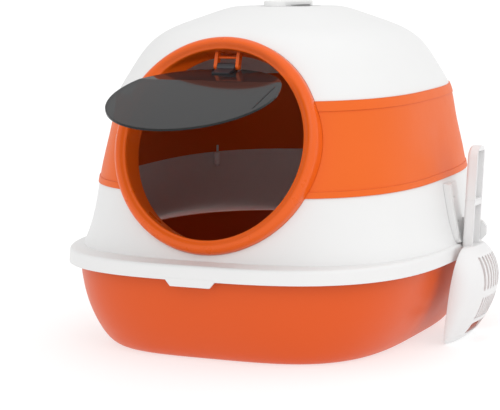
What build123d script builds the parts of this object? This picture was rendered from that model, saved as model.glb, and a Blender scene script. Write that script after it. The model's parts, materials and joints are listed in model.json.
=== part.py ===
from build123d import *
import os
from functools import lru_cache
from math import cos, hypot, pi, radians, sin

# Cat litter box with hood. Millimetres, +Z up, origin at the centre of the tray's
# flat bottom on the floor. The door faces -Y and the scoop hangs on the +X side.

os.makedirs("parts", exist_ok=True)

# ---- driving dimensions ----
WALL = 3.0              # moulded wall thickness
FIT = 0.3               # gap between pieces that come apart or move
SNUG = 0.15             # gap between pieces of the hood that are fixed together
TOUCH = 0.05            # gap under screw heads and at clamped faces

# Superellipse stations (z, half width X, half length Y, centre Y, exponent)
SKIRT_BOTTOM = 99.0
LEDGE_TOP = 116.0
SKIRT = [(SKIRT_BOTTOM, 225.5, 261.0, -7.6, 2.97), (LEDGE_TOP, 224.5, 260.0, -7.6, 2.97)]
HOOD = [
    (108.0, 224.0, 244.0, 7.0, 2.95),
    (125.0, 217.0, 241.0, 8.0, 2.95),
    (145.0, 211.0, 238.7, 10.0, 2.92),
    (170.0, 206.0, 236.8, 11.5, 2.90),
    (193.0, 202.0, 235.3, 12.3, 2.90),
    (228.0, 196.0, 228.5, 12.4, 2.86),
    (264.0, 189.3, 221.0, 12.5, 2.80),
    (298.0, 182.9, 212.6, 12.5, 2.76),
    (319.0, 172.8, 200.9, 12.5, 2.70),
    (341.0, 160.9, 187.0, 12.5, 2.62),
    (357.0, 148.5, 172.5, 12.5, 2.55),
    (367.0, 135.5, 158.0, 12.5, 2.50),
    (377.0, 115.0, 134.0, 12.5, 2.45),
    (386.5, 90.0, 105.0, 12.5, 2.40),
    (394.0, 68.0, 79.0, 12.5, 2.40),
    (396.0, 58.0, 68.0, 12.5, 2.40),
]
TRAY_INSET = [(0, 50), (3, 41), (9, 33.5), (20, 25), (36, 16), (56, 7.8), (78, 2.4), (99, 0)]
TRAY_INSIDE = [(3, 52), (6, 44.5), (11, 38), (21, 29), (37, 19.4), (57, 11), (78.5, 5.5), (99, 3)]
TRAY_TAPER_Y = 0.76     # end walls lean in less than side walls
TRAY_TOP = (112.4, 213.0, 248.5, -7.6, 2.97)
TRAY_RIM = (216.9, 252.4)      # outer half sizes of the rim flange
RIM_THICK = 3.5

SEAM_LOW = 193.0        # lower shell to band, at the hood's middle
SEAM_HIGH = 298.0       # band to dome
SEAM_SLOPE = 0.02       # both seams rise towards the back
BAND_PROUD = 1.3        # raised lips along the band's edges
BAND_FACE = 0.3         # the band's face between its lips
LIP_TOP = 11.0
LIP_LOW = 7.0

# Door ring: its own frame has X across, Y up the ring, Z out of the door
RING_CENTRE = (0, -202.0, 244.0)
RING_TILT = 16.2
RING_R = 125.0
RING_INNER = 109.0
RING_FRONT = 8.0
RING_BACK = -26.0
RETAINER_THICK = 3.0
RETAINER_R = 132.0

# Flap, in the ring's frame
PIVOT_UP = 93.0         # pin above the ring's centre
PIVOT_OUT = -10.0       # pin behind the ring's front plane
FLAP_R = 97.2
FLAP_THICK = 2.4
FLAP_OPEN = 62.8        # how far the flap stands out of the closed position
FLAP_BELOW = 5.5        # middle of the sheet below the pin
FLAP_OVER = 4.7         # sheet's edge past the pin
CREASE_AT = 50.0        # crease from the pin
CREASE_ANGLE = 7.0
PIN_R = 2.0
PRONG_GAP = 23.0
PRONG_THICK = 4.0
PRONG_MIDDLE = (PRONG_GAP + PRONG_THICK) / 2
NOTCH_DEPTH = 9.0
CROSSBAR_UP = 10.0      # bar between the prongs, above the pin
CROSSBAR_R = 1.4

# Scoop and cradle
SCOOP_Y = 23.0
SCOOP_WALL = 2.2
NECK_WIDTH = 30.0
NECK_DEPTH = 12.8


def superellipse(z, a, b, y0, n, grow=0.0, points=36):
    """Closed smooth outline; grow moves it out by that many millimetres."""
    a, b = a + grow, b + grow
    corners = []
    for i in range(points):
        t = 2 * pi * i / points
        r = (abs(cos(t) / a) ** n + abs(sin(t) / b) ** n) ** (-1 / n)
        corners.append(Vector(r * cos(t), y0 + r * sin(t), z))
    return Wire([Edge.make_spline(corners, periodic=True)])


@lru_cache
def hood_body(offset=0.0):
    """The hood's outer form as one solid, moved out by offset along its side profile."""
    stations = HOOD
    wires = []
    last = len(stations) - 1
    for i, (z, a, b, y0, n) in enumerate(stations):
        z0, a0 = stations[max(i - 1, 0)][:2]
        z1, a1 = stations[min(i + 1, last)][:2]
        length = hypot(z1 - z0, a1 - a0)
        side, up = (z1 - z0) / length, (a0 - a1) / length
        if i == 0:
            side, up = 1.0, 0.0
        if i == last:
            side, up = (side, 1.0) if up > 0.5 else (1.0, 0.0)
        wires.append(superellipse(z + offset * up, a, b, y0, n, offset * side))
    return Solid.make_loft(wires)


def slab(z_low, z_high, slope_low=0.0, slope_high=0.0):
    """Block between two planes that may rise towards +Y."""
    half = 400.0
    profile = Polyline(
        (-half, z_low - half * slope_low), (half, z_low + half * slope_low),
        (half, z_high + half * slope_high), (-half, z_high - half * slope_high),
        close=True)
    return extrude(Plane.YZ * make_face(profile), amount=half, both=True)


def ring_frame(x=0.0, up=0.0, out=0.0, roll=0.0):
    """Location in the ring's frame, turned by roll about its own X."""
    middle = Location(RING_CENTRE) * Rotation(90 - RING_TILT, 0, 0)
    return middle * Pos(x, up, out) * Rotation(roll, 0, 0)


def ring_tube(r_in, r_out, back, front):
    blank = Cylinder(r_out, front - back) - Cylinder(r_in, front - back + 1)
    return ring_frame(out=(back + front) / 2) * blank


def on_wall(angle, z, inset):
    """Point inside the hood's wall at a height, inset from its outer face."""
    low = max(s for s in HOOD if s[0] <= z)
    high = min(s for s in HOOD if s[0] > z)
    f = (z - low[0]) / (high[0] - low[0])
    a, b, y0, n = [p + f * (q - p) for p, q in zip(low[1:], high[1:])]
    a, b = a - inset, b - inset
    t = radians(angle)
    r = (abs(cos(t) / a) ** n + abs(sin(t) / b) ** n) ** (-1 / n)
    return r * cos(t), y0 + r * sin(t)


def screw(length, shank_r, head_r, head_h):
    """Pan-head screw along -Z, its head's underside at the origin."""
    head = Pos(0, 0, head_h / 2) * Cylinder(head_r, head_h)
    head = fillet(head.edges().sort_by(Axis.Z)[-1], head_h * 0.45)
    head -= Pos(0, 0, head_h) * (Box(head_r * 1.1, 0.8, 1.0) + Box(0.8, head_r * 1.1, 1.0))
    shank = Pos(0, 0, -length / 2) * Cylinder(shank_r, length)
    shank = chamfer(shank.edges().sort_by(Axis.Z)[0], shank_r * 0.6)
    return head + shank


# ---- tray ----
def tray_station(z, inset):
    """Outline of the tub's wall at a height, inset from its top outline."""
    z_top, a_top, b_top, y_top, n_top = TRAY_TOP
    f = inset / TRAY_INSET[0][1]
    return z, a_top - inset, b_top - TRAY_TAPER_Y * inset, y_top + 10.0 * f, n_top + 0.6 * f


def litter_tray():
    z_top, a_top, b_top, y_top, n_top = TRAY_TOP
    outer = Solid.make_loft(
        [superellipse(*tray_station(z, i)) for z, i in TRAY_INSET + [(z_top, 0)]])
    inner = Solid.make_loft(
        [superellipse(*tray_station(z, i)) for z, i in TRAY_INSIDE + [(z_top + 4, WALL)]])
    rim = Solid.make_loft([
        superellipse(z, *TRAY_RIM, y_top, n_top) for z in (z_top - RIM_THICK, z_top)])
    rim = fillet(rim.edges(), 1.2)
    return outer + rim - inner


# ---- hood ----
SCREW_ANGLES = (42, 138, 222, 318)
BOSS_R = 4.5
BOSS_INSET = 11.0
BOSS_LENGTH = 16.0
SEAM_BITE = 10.0        # how far the screws reach past the seam
SEAM_HOLE_R = 1.6


def seam_places(seam):
    """Post positions round a seam: X of each place points out through the wall."""
    places = []
    for angle in SCREW_ANGLES:
        x, y = on_wall(angle, seam, BOSS_INSET)
        places.append(Pos(x, y, seam + SEAM_SLOPE * y) * Rotation(0, 0, angle))
    return places


def seam_posts(seam, side):
    """Ribbed screw posts inside the wall, below (-1) or above (1) a seam."""
    middle = Pos(0, 0, side * BOSS_LENGTH / 2)
    posts = []
    for place in seam_places(seam):
        post = Cylinder(BOSS_R, BOSS_LENGTH) + Pos(8, 0, 0) * Box(16, 3, BOSS_LENGTH)
        posts.append(place * middle * post)
    return posts


def seam_holes(seam):
    low, high = -BOSS_LENGTH - 1, SEAM_BITE + 1
    hole = Pos(0, 0, (low + high) / 2) * Cylinder(SEAM_HOLE_R, high - low)
    return [place * hole for place in seam_places(seam)]


OUTER = hood_body()
INNER = hood_body(-WALL)
DOOR_CUT = ring_frame() * Cylinder(RING_R + SNUG, 120)


def seam_slab(low, high):
    return slab(low, high, SEAM_SLOPE, SEAM_SLOPE)


def with_posts(shell, part_slab, posts, seams):
    """Adds the posts, kept inside the wall and the piece's own slab, and drills them."""
    for post in posts:
        shell += post & OUTER & part_slab
    for seam in seams:
        for hole in seam_holes(seam):
            shell -= hole
    return shell


def hood_lower_shell():
    skirt = Solid.make_loft([superellipse(*s) for s in SKIRT])
    skirt = fillet(skirt.edges().sort_by(Axis.Z)[-1], 4.0)
    skirt_inside = Solid.make_loft([
        superellipse(SKIRT_BOTTOM - 1, *SKIRT[0][1:], grow=-WALL),
        superellipse(LEDGE_TOP - WALL, *SKIRT[1][1:], grow=-WALL)])
    part_slab = slab(SKIRT_BOTTOM, SEAM_LOW, 0, SEAM_SLOPE)
    wall = OUTER & slab(108.0, SEAM_LOW, 0, SEAM_SLOPE)
    shell = skirt + wall - skirt_inside - INNER
    shell -= DOOR_CUT
    shell = with_posts(shell, part_slab, seam_posts(SEAM_LOW, -1), [SEAM_LOW])
    return shell + front_tab() - holder_holes()


def front_tab():
    """Finger tab that hangs from the middle of the skirt's front edge."""
    tab_half, tab_drop, y_front = 24.0, 7.0, SKIRT[0][3] - SKIRT[0][2]
    outline = Polyline(
        (-tab_half - 6, SKIRT_BOTTOM + 2), (-tab_half - 6, SKIRT_BOTTOM),
        (-tab_half, SKIRT_BOTTOM - tab_drop), (tab_half, SKIRT_BOTTOM - tab_drop),
        (tab_half + 6, SKIRT_BOTTOM), (tab_half + 6, SKIRT_BOTTOM + 2), close=True)
    block = extrude(Plane.XZ.offset(-y_front - 10) * make_face(outline), amount=14)
    skin = Solid.make_loft([superellipse(z, *SKIRT[0][1:]) for z in (80, 110)])
    skin -= Solid.make_loft([superellipse(z, *SKIRT[0][1:], grow=-WALL) for z in (79, 111)])
    return block & skin


def hood_band():
    part_slab = seam_slab(SEAM_LOW, SEAM_HIGH)
    face_slab = seam_slab(SEAM_LOW + LIP_LOW, SEAM_HIGH - LIP_TOP)
    wall = (hood_body(BAND_PROUD) & part_slab) - INNER
    wall -= (hood_body(BAND_PROUD + 2) & face_slab) - hood_body(BAND_FACE)
    wall -= DOOR_CUT
    posts = seam_posts(SEAM_LOW, 1) + seam_posts(SEAM_HIGH, -1)
    return with_posts(wall, part_slab, posts, [SEAM_LOW, SEAM_HIGH])


WELL = (66.0, 80.0, 26.0)      # finger well under the handle: X, Y, depth
CUP_WALL = 2.0
CUP_FLANGE = 3.0
HANDLE_LENGTH = 112.0
HANDLE_WIDTH = 26.0
HANDLE_THICK = 7.0
HANDLE_SCREW_Y = 49.5
DOME_TOP = HOOD[-1][0]
DOME_Y = HOOD[-1][3]


def well_block(grow, z_low, z_high, round_low):
    """Round-cornered block on the well's outline, larger all round by grow."""
    block = Box(WELL[0] + 2 * grow, WELL[1] + 2 * grow, z_high - z_low)
    block = fillet(block.edges().filter_by(Axis.Z), 18 + grow)
    if round_low:
        block = fillet(block.faces().sort_by(Axis.Z)[0].edges(), round_low)
    return Pos(0, DOME_Y, (z_low + z_high) / 2) * block


def hood_dome():
    part_slab = seam_slab(SEAM_HIGH, 500)
    shell = (OUTER & part_slab) - INNER - DOOR_CUT
    shell -= well_block(CUP_WALL + SNUG, DOME_TOP - 20, DOME_TOP + 5, 0)
    for side in (-1, 1):
        y = DOME_Y + side * HANDLE_SCREW_Y
        shell -= Pos(0, y, DOME_TOP) * Cylinder(1.75, 20)
    return with_posts(shell, part_slab, seam_posts(SEAM_HIGH, 1), [SEAM_HIGH])


def handle_recess():
    """Cup let into the dome's top, with a flange under the dome's wall."""
    bottom = DOME_TOP - WELL[2]
    flange_top = DOME_TOP - WALL - TOUCH
    cup = well_block(CUP_WALL, bottom - CUP_WALL, DOME_TOP, 8)
    cup += well_block(CUP_WALL + CUP_FLANGE, flange_top - CUP_WALL, flange_top, 0)
    return cup - well_block(0, bottom, DOME_TOP + 5, 7)


def seam_screws(seam):
    """The screws come up from below into the posts."""
    turn = Pos(0, 0, -BOSS_LENGTH - TOUCH) * Rotation(180, 0, 0)
    one = turn * screw(BOSS_LENGTH + SEAM_BITE, 1.5, 3.2, 2.2)
    return Compound([place * one for place in seam_places(seam)])


# ---- door ring ----
RING_SCREWS = 6
RING_SCREW_R = (RING_R + RING_INNER) / 2


def entry_ring():
    mid = (RING_R + RING_INNER) / 2
    with BuildSketch(Plane.XZ) as profile:
        with BuildLine():
            a = Line((RING_INNER, 0), (RING_INNER, RING_BACK))
            b = Line(a @ 1, (RING_R, RING_BACK))
            Line(b @ 1, (RING_R, -2))
            Spline((RING_R, -2), (mid + 5.2, RING_FRONT - 2.4), (mid, RING_FRONT),
                   (mid - 5.2, RING_FRONT - 2.4), (RING_INNER, 0),
                   tangents=[(0, 1), (0, -1)])
        make_face()
    ring = ring_frame() * revolve(profile.sketch, Axis.Z)
    for side in (-1, 1):
        ring += hinge_prong(side)
    crossbar = Rotation(0, 90, 0) * Cylinder(CROSSBAR_R, PRONG_GAP + PRONG_THICK)
    ring += ring_frame(up=PIVOT_UP + CROSSBAR_UP, out=PIVOT_OUT) * crossbar
    ring -= ring_frame(up=PIVOT_UP, out=PIVOT_OUT) * Rotation(0, 90, 0) * Cylinder(PIN_R, 60)
    for i in range(RING_SCREWS):
        ring -= ring_screw_place(i) * Pos(0, 0, -5) * Cylinder(1.25, 10)
    return ring


def hinge_prong(side):
    """One of the two ears that hang from the ring's inner top."""
    ear = Box(PRONG_THICK, 18, 8) + Pos(0, -9, 0) * Rotation(0, 90, 0) * Cylinder(4, PRONG_THICK)
    return ring_frame(side * PRONG_MIDDLE, PIVOT_UP + 9, PIVOT_OUT) * ear


def ring_screw_place(i):
    angle = 360 / RING_SCREWS * (i + 0.5)
    # +Z of this place points into the house, from the retainer's back
    return (ring_frame(out=RING_BACK) * Rotation(0, 0, angle) * Pos(RING_SCREW_R, 0, 0)
            * Rotation(180, 0, 0))


def ring_retainer():
    front = RING_BACK
    ring = ring_tube(RING_INNER + 0.5, RETAINER_R, front - RETAINER_THICK, front)
    edge = ring.edges().filter_by(GeomType.CIRCLE).sort_by(SortBy.RADIUS)[-2:]
    ring = fillet(edge, 1.0)
    for i in range(RING_SCREWS):
        ring -= ring_screw_place(i) * Cylinder(1.6, 20)
    return ring


def ring_screws():
    return Compound([
        ring_screw_place(i) * Pos(0, 0, RETAINER_THICK + 0.02) * screw(12, 1.2, 3.2, 2.0)
        for i in range(RING_SCREWS)])


# ---- flap ----
def flap_frame(x=0.0, along=0.0, up=0.0):
    """X across, Y from the pin towards the flap's far edge, Z up out of the flap."""
    hinge = ring_frame(0, PIVOT_UP, PIVOT_OUT, 180 - FLAP_OPEN)
    return hinge * Rotation(0, 180, 0) * Pos(x, along, up)


def flap_hinge_pin():
    length = PRONG_GAP + 2 * PRONG_THICK + 1.5
    pin = Cylinder(PIN_R - 0.02, length)
    pin = chamfer(pin.edges(), 0.4)
    return ring_frame(up=PIVOT_UP, out=PIVOT_OUT) * Rotation(0, 90, 0) * pin


def flap_sheet():
    """Round sheet with one crease across it, and notches that clear the prongs."""
    bend = radians(CREASE_ANGLE)
    far = 2 * FLAP_R
    top = [(-20, 0), (CREASE_AT, 0),
           (CREASE_AT + far * cos(bend), -far * sin(bend))]
    band = trace_band(top, FLAP_THICK)
    strip = extrude(Plane.YZ * make_face(band), amount=FLAP_R + 5, both=True)
    disc = Pos(0, FLAP_R - FLAP_OVER, 0) * Cylinder(FLAP_R, 120)
    sheet = strip & disc
    for side in (-1, 1):
        sheet -= Pos(side * PRONG_MIDDLE, 0, 0) * Box(PRONG_THICK + 2.4, 2 * NOTCH_DEPTH, 20)
    return sheet


def trace_band(line, thick):
    """Closed outline of a bent strip of even thickness round a middle line."""
    (y0, z0), (y1, z1), (y2, z2) = line
    half, bend = thick / 2, radians(CREASE_ANGLE)
    mitre = half * sin(bend / 2) / cos(bend / 2)
    away, down = half * sin(bend), half * cos(bend)
    return Polyline((y0, z0 + half), (y1 + mitre, z1 + half), (y2 + away, z2 + down),
                    (y2 - away, z2 - down), (y1 - mitre, z1 - half), (y0, z0 - half), close=True)


RIVETS = (-8.0, 8.0)
CLIP_WIDTH = PRONG_GAP - 2 * 0.6
RIVET_ALONG = 13.0


def flap_panel():
    sheet = flap_frame(up=-FLAP_BELOW) * flap_sheet()
    for x in RIVETS:
        sheet -= flap_frame(x, RIVET_ALONG, -FLAP_BELOW) * Cylinder(1.5, 10)
    return sheet


def flap_clip():
    """Knuckle round the pin, with a foot that lies on the sheet."""
    foot_low = -FLAP_BELOW + FLAP_THICK / 2
    outline = Polyline((-3.6, foot_low), (20, foot_low), (20, foot_low + 1.8),
                       (6, foot_low + 3.4), (3.6, 2.0), (-3.6, 0), close=True)
    # Y along the flap and Z up, drawn on a plane across X
    foot = extrude(Plane.YZ * make_face(outline), amount=CLIP_WIDTH / 2, both=True)
    clip = foot + Rotation(0, 90, 0) * Cylinder(3.8, CLIP_WIDTH)
    clip -= Rotation(0, 90, 0) * Cylinder(PIN_R + 0.05, CLIP_WIDTH + 2)
    for x in RIVETS:
        clip -= Pos(x, RIVET_ALONG, 0) * Cylinder(1.5, 20)
    return flap_frame() * clip


def flap_clip_rivets():
    rivets = []
    for x in RIVETS:
        top = -FLAP_BELOW + FLAP_THICK / 2 + 2.7
        low = -FLAP_BELOW - FLAP_THICK / 2
        shank = Pos(0, 0, (top + low) / 2) * Cylinder(1.48, top - low + 0.4)
        head = Pos(0, 0, low - 0.6) * Cylinder(2.6, 1.2)
        head = fillet(head.edges().sort_by(Axis.Z)[0], 0.5)
        rivets.append(flap_frame(x, RIVET_ALONG) * (shank + head))
    return Compound(rivets)


# ---- carry handle ----
def carry_handle():
    z_low = DOME_TOP + 0.02
    bar = Box(HANDLE_WIDTH, HANDLE_LENGTH, HANDLE_THICK)
    bar = fillet(bar.edges().filter_by(Axis.Z), HANDLE_WIDTH / 2 - 0.5)
    bar = fillet(bar.faces().sort_by(Axis.Z)[-1].edges(), 3.0)
    relief = Pos(0, 0, -HANDLE_THICK / 2) * Box(HANDLE_WIDTH + 2, WELL[1] - 4, 3.2)
    bar -= relief
    bar = Pos(0, DOME_Y, z_low + HANDLE_THICK / 2) * bar
    for side in (-1, 1):
        bar -= Pos(0, DOME_Y + side * HANDLE_SCREW_Y, z_low) * Cylinder(1.25, 10)
    return bar


def handle_screws():
    return Compound([
        Pos(0, DOME_Y + side * HANDLE_SCREW_Y, DOME_TOP - WALL - 0.3) * Rotation(180, 0, 0)
        * screw(7.5, 1.2, 3.0, 2.0) for side in (-1, 1)])


# ---- scoop cradle ----
HOLDER_LOW = 117.5
HOLDER_HIGH = 187.0
FLANGE_THICK = 5.0
PLATE_THICK = 4.5
HOLDER_BLANK_X = 205.0  # middle of the blocks that the plate and its holes are cut from
HOLDER_SCREW_Z = (140.0, 170.0)
HOLDER_GAP = NECK_WIDTH + 2 * 0.8


def holder_holes():
    """Clearance holes through the wall, along X."""
    return Compound([
        Pos(HOLDER_BLANK_X, SCOOP_Y, z) * Rotation(0, 90, 0) * Cylinder(1.7, 60)
        for z in HOLDER_SCREW_Z])


def scoop_holder():
    """Curved plate on the wall with a low flange in front and a prong behind."""
    plate = Pos(HOLDER_BLANK_X, SCOOP_Y, (HOLDER_LOW + HOLDER_HIGH) / 2) * Box(
        120, HOLDER_GAP + FLANGE_THICK, HOLDER_HIGH - HOLDER_LOW)
    holder = hood_body(PLATE_THICK) & plate
    front = Polyline((190, HOLDER_HIGH), (213, HOLDER_HIGH), (216.5, 160), (223, 128),
                     (222, 121), (217, HOLDER_LOW), (190, HOLDER_LOW), close=True)
    rear = Polyline((190, 144), (236, 143), (242, 140), (246, 134), (246, 124),
                    (240, HOLDER_LOW), (190, HOLDER_LOW), close=True)
    for outline, side in ((front, -1), (rear, 1)):
        y = SCOOP_Y + side * (HOLDER_GAP + FLANGE_THICK) / 2
        sketch = Plane.XZ.offset(-y) * make_face(outline)
        holder += extrude(sketch, amount=FLANGE_THICK / 2, both=True)
    holder -= hood_body(SNUG)
    for z in HOLDER_SCREW_Z:
        holder -= Pos(HOLDER_BLANK_X, SCOOP_Y, z) * Rotation(0, 90, 0) * Cylinder(1.25, 60)
    return holder


def holder_screws():
    screws = []
    for z in HOLDER_SCREW_Z:
        x = on_wall(0, z, WALL)[0]
        x = min(x, on_wall(6, z, WALL)[0]) - 1.3
        screws.append(Pos(x, SCOOP_Y, z) * Rotation(0, -90, 0) * screw(7.5, 1.2, 3.2, 2.0))
    return Compound(screws)


# ---- scoop ----
SCOOP_TOP = 114.0
# (z, x of the rim, depth, half width) from the lip up to the neck
BOWL = [
    (1.0, 217.4, 8.0, 53.0),
    (6.0, 217.9, 13.0, 57.0),
    (14.0, 219.0, 19.0, 60.0),
    (30.0, 221.4, 27.0, 62.5),
    (55.0, 224.7, 34.0, 63.0),
    (80.0, 228.0, 33.0, 61.0),
    (100.0, 230.6, 24.0, 52.0),
    (110.0, 231.9, 15.5, 42.0),
    (SCOOP_TOP, 232.5, 11.0, 32.0),
]
BOWL_ROUND = 2.3        # exponent of the bowl's level outline
RUN_OUT = 8.0           # how far the inside's form runs on past the open rim
NECK_BASE_X = 231.9
NECK_LEAN = 3.0
NECK_SPLIT = 168.0
GRIP_TOP = 233.0


def bowl_section(z, x_rim, depth, half):
    """Level outline: straight across the rim and round at the back."""
    arc = []
    steps = 16
    for i in range(steps + 1):
        t = pi * (i / steps - 0.5)
        c, n = cos(t), sin(t)
        r = (abs(c) ** BOWL_ROUND + abs(n) ** BOWL_ROUND) ** (-1 / BOWL_ROUND)
        arc.append(Vector(x_rim + depth * r * c, SCOOP_Y + half * r * n, z))
    return Wire([Edge.make_spline(arc), Edge.make_line(arc[-1], arc[0])])


def scoop_shell():
    t = SCOOP_WALL
    outer = Solid.make_loft([bowl_section(*s) for s in BOWL])
    # the inside runs out past the rim, so that the scoop is open there
    inside = [(z, x - RUN_OUT, depth + RUN_OUT - t, half - t) for z, x, depth, half in BOWL[1:-1]]
    z, x, depth, half = BOWL[0]
    inside.insert(0, (z + t, x - RUN_OUT, depth + RUN_OUT - t, half - t))
    z, x, depth, half = BOWL[-1]
    inside.append((z - t, x - RUN_OUT, depth + RUN_OUT - 1.5 * t, half - 1.5 * t))
    inner = Solid.make_loft([bowl_section(*s) for s in inside])
    return outer - inner


def scoop_basket():
    return scoop_shell() - bowl_slots() + neck()


# (height of the middle, count, length, pitch, width) of each row of slots
SLOT_ROWS = [(83.0, 7, 39.0, 9.0, 5.0), (41.5, 9, 27.0, 6.4, 3.6)]
LIP_SLOT = (16.0, 50.0, 13.0)      # height, width and length of the wide slot at the lip


def bowl_slots():
    """Two rows of slots and one wide slot through the bowl's back."""
    cuts = []
    for row_z, count, length, pitch, width in SLOT_ROWS:
        slot = Box(60, width, length)
        slot = fillet(slot.edges().filter_by(Axis.X), width * 0.48)
        for i in range(count):
            cuts.append(Pos(258, SCOOP_Y + (i - (count - 1) / 2) * pitch, row_z) * slot)
    z, width, length = LIP_SLOT
    wide = Box(60, width, length)
    wide = fillet(wide.edges().filter_by(Axis.X), 3.0)
    cuts.append(Pos(258, SCOOP_Y, z) * wide)
    return Compound(cuts)


def neck_frame(z):
    foot = Pos(NECK_BASE_X, SCOOP_Y, SCOOP_TOP) * Rotation(0, NECK_LEAN, 0)
    return foot * Pos(0, 0, z - SCOOP_TOP)


def channel(low, high, round_top):
    """C-section bar, open towards +X."""
    length = high - low
    bar = Box(NECK_DEPTH, NECK_WIDTH, length)
    if round_top:
        ends = bar.edges().filter_by(Axis.X).group_by(Axis.Z)[-1]
        bar = fillet(ends, NECK_WIDTH / 2 - 0.6)
    bar = fillet(bar.edges().filter_by(Axis.Z).group_by(Axis.X)[0], 4.0)
    hollow = Pos(3.0, 0, -2) * Box(NECK_DEPTH, NECK_WIDTH - 7, length - 8)
    hollow = fillet(hollow.edges().filter_by(Axis.Z), 2.0)
    return neck_frame((low + high) / 2) * (bar - hollow)


def neck():
    return channel(SCOOP_TOP - 3, NECK_SPLIT, False)


def scoop_handle():
    return channel(NECK_SPLIT + 0.02, GRIP_TOP, True)


PIECES = {
    "litter_tray": litter_tray,
    "hood_lower_shell": hood_lower_shell,
    "hood_band": hood_band,
    "hood_dome": hood_dome,
    "lower_seam_screws": lambda: seam_screws(SEAM_LOW),
    "upper_seam_screws": lambda: seam_screws(SEAM_HIGH),
    "entry_ring": entry_ring,
    "ring_retainer": ring_retainer,
    "ring_screws": ring_screws,
    "flap_hinge_pin": flap_hinge_pin,
    "flap_panel": flap_panel,
    "flap_clip": flap_clip,
    "flap_clip_rivets": flap_clip_rivets,
    "handle_recess": handle_recess,
    "carry_handle": carry_handle,
    "handle_screws": handle_screws,
    "scoop_holder": scoop_holder,
    "holder_screws": holder_screws,
    "scoop_basket": scoop_basket,
    "scoop_handle": scoop_handle,
}

for name, make in PIECES.items():
    solids = make().solids()
    export_step(solids[0] if len(solids) == 1 else Compound(solids), f"parts/{name}.step")
    print(name, len(solids))
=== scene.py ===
import json
from math import cos, pi, radians, sin

import bpy
from mathutils import Matrix, Vector


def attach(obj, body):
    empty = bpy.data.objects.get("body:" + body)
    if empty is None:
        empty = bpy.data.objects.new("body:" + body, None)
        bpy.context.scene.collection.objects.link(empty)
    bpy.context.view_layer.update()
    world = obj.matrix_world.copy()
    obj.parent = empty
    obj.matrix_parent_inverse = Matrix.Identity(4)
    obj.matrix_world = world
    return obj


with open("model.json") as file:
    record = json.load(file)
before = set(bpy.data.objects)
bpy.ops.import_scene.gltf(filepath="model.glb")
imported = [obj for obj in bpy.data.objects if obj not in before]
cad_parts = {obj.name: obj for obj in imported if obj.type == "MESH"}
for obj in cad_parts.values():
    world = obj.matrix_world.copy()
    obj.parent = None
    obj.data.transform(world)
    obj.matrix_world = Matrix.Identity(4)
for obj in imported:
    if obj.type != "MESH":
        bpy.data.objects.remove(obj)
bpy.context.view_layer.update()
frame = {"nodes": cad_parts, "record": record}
nodes = frame["nodes"]

# ---- camera ----
AZIMUTH, ELEVATION = 22.98, 6.83
DISTANCE = 2.233
SENSOR = 36.0
LENS = 130.658
SHIFT = (-0.0717, -0.0278)
TARGET = Vector((0.0016, 0.0, 0.1693))
VIEW_END = 50.0


def make_camera():
    data = bpy.data.cameras.new("camera")
    data.sensor_width = SENSOR
    data.lens = LENS
    data.shift_x, data.shift_y = SHIFT
    data.clip_end = VIEW_END
    camera = bpy.data.objects.new("camera", data)
    bpy.context.scene.collection.objects.link(camera)
    a, e = radians(AZIMUTH), radians(ELEVATION)
    back = Vector((sin(a) * cos(e), -cos(a) * cos(e), sin(e)))
    camera.location = TARGET + back * DISTANCE
    camera.rotation_euler = back.to_track_quat("Z", "Y").to_euler()
    bpy.context.scene.camera = camera


# ---- light and floor ----
SKY_SIDE = (0.62, -0.35, 0.70)      # towards the bright side of the studio
SKY_DARK, SKY_BRIGHT = 0.52, 1.24
LIGHT_AIM = (0.0, 0.0, 0.2)
KEY_PLACE, KEY_SIZE, KEY_POWER = (1.3, -1.8, 2.0), 1.2, 5.0
TOP_PLACE, TOP_SIZE, TOP_POWER = (0.0, 0.3, 2.6), 1.6, 3.0
FLOOR_REACH = 30.0
FLOOR_WALL = 6.0
FLOOR_GREY = 0.38
FLOOR_GLOW = 0.64                   # the floor's own light, so that it stays pale
FLOOR_ROUGH = 0.8


def area_light(name, place, size, power):
    """Square light that faces the box."""
    data = bpy.data.lights.new(name, "AREA")
    data.shape = "RECTANGLE"
    data.size = data.size_y = size
    data.energy = power
    light = bpy.data.objects.new(name, data)
    bpy.context.scene.collection.objects.link(light)
    light.location = place
    back = Vector(place) - Vector(LIGHT_AIM)
    light.rotation_euler = back.to_track_quat("Z", "Y").to_euler()


def make_studio():
    """An even white studio that is brighter towards the right, the front and above."""
    world = bpy.data.worlds.new("studio")
    bpy.context.scene.world = world
    world.use_nodes = True
    tree = world.node_tree
    sky = tree.nodes["Background"]
    sky.inputs["Color"].default_value = (1.0, 1.0, 1.0, 1.0)
    place = tree.nodes.new("ShaderNodeTexCoord")
    side = tree.nodes.new("ShaderNodeVectorMath")
    side.operation = "DOT_PRODUCT"
    side.inputs[1].default_value = SKY_SIDE
    level = tree.nodes.new("ShaderNodeMapRange")
    level.inputs["From Min"].default_value = -1.0
    level.inputs["To Min"].default_value = SKY_DARK
    level.inputs["To Max"].default_value = SKY_BRIGHT
    tree.links.new(place.outputs["Generated"], side.inputs[0])
    tree.links.new(side.outputs["Value"], level.inputs["Value"])
    tree.links.new(level.outputs["Result"], sky.inputs["Strength"])
    area_light("key", KEY_PLACE, KEY_SIZE, KEY_POWER)
    area_light("top", TOP_PLACE, TOP_SIZE, TOP_POWER)
    bpy.context.scene.view_settings.view_transform = "Standard"


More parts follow.
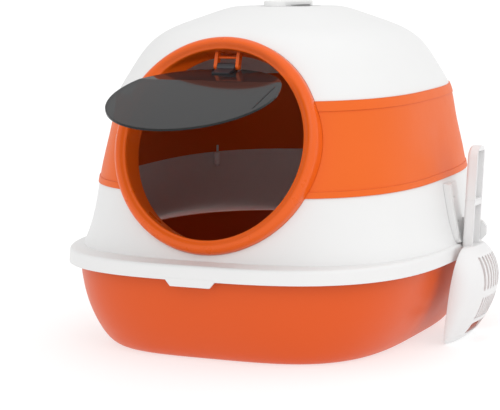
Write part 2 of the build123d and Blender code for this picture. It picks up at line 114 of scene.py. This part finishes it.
def make_floor():
    """Pale floor with a low wall far off, so that no horizon shows."""
    corners = [(-1, -1), (1, -1), (1, 1), (-1, 1)]
    verts = [(x * FLOOR_REACH, y * FLOOR_REACH, z)
             for z in (0.0, FLOOR_WALL) for x, y in corners]
    walls = [(i, i + 4, (i + 1) % 4 + 4, (i + 1) % 4) for i in range(4)]
    mesh = bpy.data.meshes.new("floor")
    mesh.from_pydata(verts, [], [(0, 1, 2, 3)] + walls)
    floor = bpy.data.objects.new("floor", mesh)
    bpy.context.scene.collection.objects.link(floor)
    material = bpy.data.materials.new("floor_white")
    material.use_nodes = True
    shader = material.node_tree.nodes["Principled BSDF"]
    shader.inputs["Base Color"].default_value = (FLOOR_GREY, FLOOR_GREY, FLOOR_GREY, 1)
    shader.inputs["Emission Color"].default_value = (1, 1, 1, 1)
    shader.inputs["Emission Strength"].default_value = FLOOR_GLOW
    shader.inputs["Roughness"].default_value = FLOOR_ROUGH
    mesh.materials.append(material)


# ---- materials ----
EDGE_ROUND = 0.0008         # radius of the softened edges
EDGE_SAMPLES = 4
GRAIN_DEPTH = 0.0004
# Noise scale and detail
MOTTLE_NOISE = (9.0, 3.0)
GLOSS_NOISE = (30.0, 4.0)
GRAIN_NOISE = (1400.0, 2.0)
GLOSS_LOW, GLOSS_HIGH = -0.05, 0.07     # how far the roughness strays
SMOKE_ALPHA = 0.88


def moulded(name, colour, rough, grain, mottle=0.02, specular=0.4):
    """Moulded plastic: fine grain, faint mottling, uneven gloss and soft edges."""
    material = bpy.data.materials.new(name)
    material.use_nodes = True
    tree = material.node_tree
    shader = tree.nodes["Principled BSDF"]
    shader.inputs["Specular IOR Level"].default_value = specular
    place = tree.nodes.new("ShaderNodeTexCoord")

    def noise(scale, detail):
        node = tree.nodes.new("ShaderNodeTexNoise")
        node.inputs["Scale"].default_value = scale
        node.inputs["Detail"].default_value = detail
        tree.links.new(place.outputs["Object"], node.inputs["Vector"])
        return node.outputs["Fac"]

    def spread(source, low, high):
        node = tree.nodes.new("ShaderNodeMapRange")
        node.inputs["To Min"].default_value = low
        node.inputs["To Max"].default_value = high
        tree.links.new(source, node.inputs["Value"])
        return node.outputs["Result"]

    tint = tree.nodes.new("ShaderNodeMix")
    tint.data_type = "RGBA"
    tint.inputs["A"].default_value = (*[c * (1 - mottle) for c in colour], 1)
    tint.inputs["B"].default_value = (*[min(1, c * (1 + mottle)) for c in colour], 1)
    tree.links.new(noise(*MOTTLE_NOISE), tint.inputs["Factor"])
    tree.links.new(tint.outputs["Result"], shader.inputs["Base Color"])
    gloss = spread(noise(*GLOSS_NOISE), rough + GLOSS_LOW, rough + GLOSS_HIGH)
    tree.links.new(gloss, shader.inputs["Roughness"])
    bump = tree.nodes.new("ShaderNodeBump")
    bump.inputs["Strength"].default_value = grain
    bump.inputs["Distance"].default_value = GRAIN_DEPTH
    tree.links.new(noise(*GRAIN_NOISE), bump.inputs["Height"])
    soft = tree.nodes.new("ShaderNodeBevel")
    soft.samples = EDGE_SAMPLES
    soft.inputs["Radius"].default_value = EDGE_ROUND
    tree.links.new(soft.outputs["Normal"], bump.inputs["Normal"])
    tree.links.new(bump.outputs["Normal"], shader.inputs["Normal"])
    return material


def smoke(name):
    """Smoked clear sheet: dark and polished, lets a little light through."""
    material = moulded(name, (0.022, 0.023, 0.024), 0.07,
                       grain=0.004, mottle=0.08, specular=0.12)
    shader = material.node_tree.nodes["Principled BSDF"]
    shader.inputs["Alpha"].default_value = SMOKE_ALPHA
    return material


MATERIALS = {
    # The tub's orange is darker than the band's and the ring's: painted shade for
    # where the tub sits under the white skirt.
    "orange_tub": moulded(
        "tub_orange_with_painted_shade", (0.69, 0.088, 0.008), 0.36, grain=0.05, specular=0.3),
    "orange_band": moulded(
        "band_orange", (0.77, 0.125, 0.010), 0.45, grain=0.08, specular=0.25),
    "orange_ring": moulded(
        "ring_orange", (0.77, 0.110, 0.006), 0.28, grain=0.03, specular=0.32),
    "white_shell": moulded(
        "shell_white", (0.765, 0.765, 0.762), 0.42, grain=0.06, specular=0.3),
    "scoop_white": moulded(
        "scoop_white", (0.77, 0.765, 0.765), 0.36, grain=0.05, specular=0.3),
    "dark_clip": moulded(
        "clip_dark", (0.035, 0.035, 0.04), 0.3, grain=0.03),
    "steel": moulded(
        "screw_steel", (0.6, 0.6, 0.62), 0.3, grain=0.03),
    "smoked_flap": smoke("flap_smoke"),
}


def dress_nodes():
    for entry in frame["record"]["subparts"]:
        mesh = nodes[entry["node"]].data
        mesh.materials.clear()
        mesh.materials.append(MATERIALS[entry["material_slot"]])


# ---- moulded details of the flap ----
# The ring's and the flap's frames and sizes, as in the CAD; metres and degrees
RING_CENTRE = (0.0, -0.202, 0.244)
RING_TILT = 16.2
PIVOT = (0.0, 0.093, -0.010)
FLAP_OPEN = 62.8
FLAP_R = 0.0972
FLAP_MIDDLE = 0.0925        # disc's centre from the pin
FLAP_LOW = -0.0055          # middle of the sheet below the pin
FLAP_HALF = 0.0012          # half the sheet's thickness
CREASE_AT = 0.050           # crease from the pin
CREASE_SLOPE = 0.1228       # fall per metre past the crease
BEAD_R = 0.0012
BEAD_GAP = 0.25             # radians left open on each side of the clip
BEAD_STEPS = 96
RIB_R = 0.0007
RIB_X = -0.085
RIB_START, RIB_END = 0.062, 0.126       # from the pin
RIB_STEPS = 12
TUBE_SIDES = 10
TUBE_END = 0.35             # how far a tube narrows at its ends


def turn(angle, axis):
    return Matrix.Rotation(radians(angle), 4, axis)


def flap_frame():
    """X across, Y from the pin to the far edge, Z up out of the flap."""
    ring = Matrix.Translation(RING_CENTRE) @ turn(90 - RING_TILT, "X")
    pin = ring @ Matrix.Translation(PIVOT) @ turn(180 - FLAP_OPEN, "X")
    return pin @ turn(180, "Y")


def on_flap(x, along, lift=0.0):
    """Point at the middle of the creased sheet, or lifted off it."""
    drop = max(0.0, along - CREASE_AT) * CREASE_SLOPE
    return flap_frame() @ Vector((x, along, FLAP_LOW - drop + lift))


def tube(name, path, radius, slot, body):
    """Round bead with narrowed ends that follows a path of points."""
    verts, faces = [], []
    last = len(path) - 1
    side = None
    for i, point in enumerate(path):
        run = (path[min(i + 1, last)] - path[max(i - 1, 0)]).normalized()
        side = run.orthogonal() if side is None else side - side.dot(run) * run
        side.normalize()
        other = run.cross(side)
        r = radius * (TUBE_END if i in (0, last) else 1.0)
        for k in range(TUBE_SIDES):
            t = 2 * pi * k / TUBE_SIDES
            verts.append(point + r * (cos(t) * side + sin(t) * other))
        if i:
            base = (i - 1) * TUBE_SIDES
            for k in range(TUBE_SIDES):
                low, high = base + k, base + (k + 1) % TUBE_SIDES
                faces.append((low, high, high + TUBE_SIDES, low + TUBE_SIDES))
    faces.append(tuple(reversed(range(TUBE_SIDES))))
    faces.append(tuple(last * TUBE_SIDES + k for k in range(TUBE_SIDES)))
    mesh = bpy.data.meshes.new(name)
    mesh.from_pydata(verts, [], faces)
    for face in mesh.polygons:
        face.use_smooth = len(face.vertices) == 4
    mesh.materials.append(MATERIALS[slot])
    piece = bpy.data.objects.new(name, mesh)
    bpy.context.scene.collection.objects.link(piece)
    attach(piece, body)


def flap_details():
    """Bead round the flap's edge and one low rib beside it on its upper face."""
    reach = FLAP_R - BEAD_R
    rim = []
    for i in range(BEAD_STEPS + 1):
        t = -pi / 2 + BEAD_GAP + (2 * pi - 2 * BEAD_GAP) * i / BEAD_STEPS
        rim.append(on_flap(reach * cos(t), FLAP_MIDDLE + reach * sin(t)))
    tube("flap_rim_bead", rim, BEAD_R, "smoked_flap", "flap")
    rib = []
    for i in range(RIB_STEPS + 1):
        along = RIB_START + (RIB_END - RIB_START) * i / RIB_STEPS
        rib.append(on_flap(RIB_X, along, FLAP_HALF))
    tube("flap_side_rib", rib, RIB_R, "smoked_flap", "flap")


make_camera()
make_studio()
make_floor()
dress_nodes()
flap_details()
